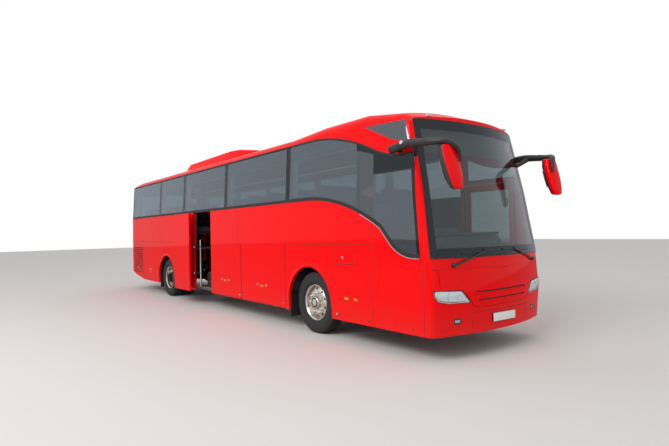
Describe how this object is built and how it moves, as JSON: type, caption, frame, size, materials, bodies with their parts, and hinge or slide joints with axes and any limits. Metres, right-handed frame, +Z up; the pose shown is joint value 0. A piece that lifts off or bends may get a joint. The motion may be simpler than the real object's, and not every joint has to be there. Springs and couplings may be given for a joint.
{
  "type": "coach bus",
  "caption": "High-deck touring coach with bonded side glass, roof cooling unit, plug doors on swing arms, luggage flaps, steered front wheels and twin rear wheels",
  "frame": {"origin": "on the ground, under the middle of the bounding box", "axes": "+X runs forward, +Y to the left, +Z up"},
  "size_m": [13.2183, 2.8753, 3.675],
  "materials": {
    "red_paint": "gloss red coach enamel",
    "tinted_glass": "dark grey tinted bonded glass",
    "clear_glass": "laminated clear glass with a black printed edge",
    "black_plastic": "grained black plastic",
    "tyre": "road tyre rubber",
    "alloy": "machined forged alloy",
    "chrome": "polished chrome tube",
    "cast_axle": "black painted castings",
    "frame_paint": "black chassis paint",
    "floor_vinyl": "grey non-slip floor covering",
    "hold_lining": "plain aluminium sheet",
    "seat_fabric": "dark moquette",
    "rack_lining": "light grey needle felt lining",
    "clear_lamp": "clear polycarbonate lens",
    "red_lamp": "red lens",
    "amber_lamp": "amber lens"
  },
  "bodies": {
    "coach": {"roof": "red_paint", "window_wall_right": "red_paint", "window_wall_left": "red_paint", "skirt_right": "red_paint", "skirt_left": "red_paint", "front_mask": "red_paint", "bumper": "red_paint", "rear_wall": "red_paint", "air_conditioner": "red_paint", "mirror_heads": "red_paint", "windscreen": "clear_glass", "glass_right": "tinted_glass", "glass_left": "tinted_glass", "rear_glass": "tinted_glass", "deck": "floor_vinyl", "cab_floor": "floor_vinyl", "steps": "floor_vinyl", "hold": "hold_lining", "wheelhouses": "black_plastic", "underframe": "frame_paint", "front_axle": "cast_axle", "rear_axle": "cast_axle", "engine": "cast_axle", "headlamps": "clear_lamp", "tail_lamps": "red_lamp", "marker_lamps": "amber_lamp", "wipers": "black_plastic", "mirror_arms": "black_plastic", "parcel_racks": "rack_lining", "seats_right": "seat_fabric", "seats_left": "seat_fabric", "driver_seat": "seat_fabric", "dashboard": "black_plastic", "handrails": "chrome"},
    "knuckle_left": {"knuckle_left": "cast_axle"},
    "knuckle_right": {"knuckle_right": "cast_axle"},
    "steering_wheel": {"steering_wheel": "black_plastic"},
    "wheel_front_left": {"front_tyre_left": "tyre", "front_rim_left": "alloy"},
    "wheel_front_right": {"front_tyre_right": "tyre", "front_rim_right": "alloy"},
    "wheels_rear_left": {"rear_tyres_left": "tyre", "rear_rims_left": "alloy"},
    "wheels_rear_right": {"rear_tyres_right": "tyre", "rear_rims_right": "alloy"},
    "centre_door_arms": {"centre_door_arms": "chrome"},
    "centre_door": {"centre_door": "red_paint", "centre_door_glass": "tinted_glass"},
    "front_door_arms": {"front_door_arms": "chrome"},
    "front_door": {"front_door": "red_paint", "front_door_glass": "tinted_glass"},
    "engine_lid": {"engine_lid": "red_paint"},
    "front_flap": {"front_flap": "red_paint"},
    "hold_flap_right_1": {"hold_flap_right_1": "red_paint"},
    "hold_flap_right_2": {"hold_flap_right_2": "red_paint"},
    "hold_flap_left_1": {"hold_flap_left_1": "red_paint"},
    "hold_flap_left_2": {"hold_flap_left_2": "red_paint"},
    "hold_flap_left_3": {"hold_flap_left_3": "red_paint"}
  },
  "joints": [
    {"name": "steer_left", "type": "hinge", "parent": "coach", "child": "knuckle_left", "pos_m": [3.5525, 0.87, 0.515], "axis": [0, 0, 1], "range_deg": [-40, 40]},
    {"name": "steer_right", "type": "hinge", "parent": "coach", "child": "knuckle_right", "pos_m": [3.5525, -0.87, 0.515], "axis": [0, 0, 1], "range_deg": [-40, 40]},
    {"name": "steering_wheel_turn", "type": "hinge", "parent": "coach", "child": "steering_wheel", "pos_m": [5.5625, -0.66, 1.68], "axis": [-0.5736, 0, 0.8192], "range_deg": [-640, 640]},
    {"name": "front_left_roll", "type": "hinge", "parent": "knuckle_left", "child": "wheel_front_left", "pos_m": [3.5525, 1.06, 0.515], "axis": [0, 1, 0], "continuous": true},
    {"name": "front_right_roll", "type": "hinge", "parent": "knuckle_right", "child": "wheel_front_right", "pos_m": [3.5525, -1.06, 0.515], "axis": [0, 1, 0], "continuous": true},
    {"name": "rear_left_roll", "type": "hinge", "parent": "coach", "child": "wheels_rear_left", "pos_m": [-3.3575, 0.9, 0.515], "axis": [0, 1, 0], "continuous": true},
    {"name": "rear_right_roll", "type": "hinge", "parent": "coach", "child": "wheels_rear_right", "pos_m": [-3.3575, -0.9, 0.515], "axis": [0, 1, 0], "continuous": true},
    {"name": "centre_door_swing", "type": "hinge", "parent": "coach", "child": "centre_door_arms", "pos_m": [-1.2475, -1.17, 0.9], "axis": [0, 0, 1], "range_deg": [0, 153]},
    {"name": "centre_door_hang", "type": "hinge", "parent": "centre_door_arms", "child": "centre_door", "pos_m": [-1.62885, -1.36431, 0.9], "axis": [0, 0, 1], "range_deg": [-153, 0]},
    {"name": "front_door_swing", "type": "hinge", "parent": "coach", "child": "front_door_arms", "pos_m": [4.9825, 1.17, 0.9], "axis": [0, 0, 1], "range_deg": [0, 153]},
    {"name": "front_door_hang", "type": "hinge", "parent": "front_door_arms", "child": "front_door", "pos_m": [5.4105, 1.17, 0.9], "axis": [0, 0, 1], "range_deg": [-153, 0]},
    {"name": "engine_lid_hinge", "type": "hinge", "parent": "coach", "child": "engine_lid", "pos_m": [-6.6062, 0, 1.621], "axis": [0, 1, 0], "range_deg": [0, 90]},
    {"name": "front_flap_hinge", "type": "hinge", "parent": "coach", "child": "front_flap", "pos_m": [6.3731, 0, 1.191], "axis": [0, -1, 0], "range_deg": [0, 75]},
    {"name": "hold_flap_right_1_hinge", "type": "hinge", "parent": "coach", "child": "hold_flap_right_1", "pos_m": [0.3325, -1.28, 1.5], "axis": [-1, 0, 0], "range_deg": [0, 95]},
    {"name": "hold_flap_right_2_hinge", "type": "hinge", "parent": "coach", "child": "hold_flap_right_2", "pos_m": [1.9225, -1.28, 1.5], "axis": [-1, 0, 0], "range_deg": [0, 95]},
    {"name": "hold_flap_left_1_hinge", "type": "hinge", "parent": "coach", "child": "hold_flap_left_1", "pos_m": [-1.6475, 1.28, 1.5], "axis": [1, 0, 0], "range_deg": [0, 95]},
    {"name": "hold_flap_left_2_hinge", "type": "hinge", "parent": "coach", "child": "hold_flap_left_2", "pos_m": [0.2125, 1.28, 1.5], "axis": [1, 0, 0], "range_deg": [0, 95]},
    {"name": "hold_flap_left_3_hinge", "type": "hinge", "parent": "coach", "child": "hold_flap_left_3", "pos_m": [1.9225, 1.28, 1.5], "axis": [1, 0, 0], "range_deg": [0, 95]}
  ],
  "couplings": [
    {"joint": "steer_right", "follows": "steer_left", "ratio": 1},
    {"joint": "steering_wheel_turn", "follows": "steer_left", "ratio": 16},
    {"joint": "centre_door_hang", "follows": "centre_door_swing", "ratio": -1},
    {"joint": "front_door_hang", "follows": "front_door_swing", "ratio": -1}
  ]
}
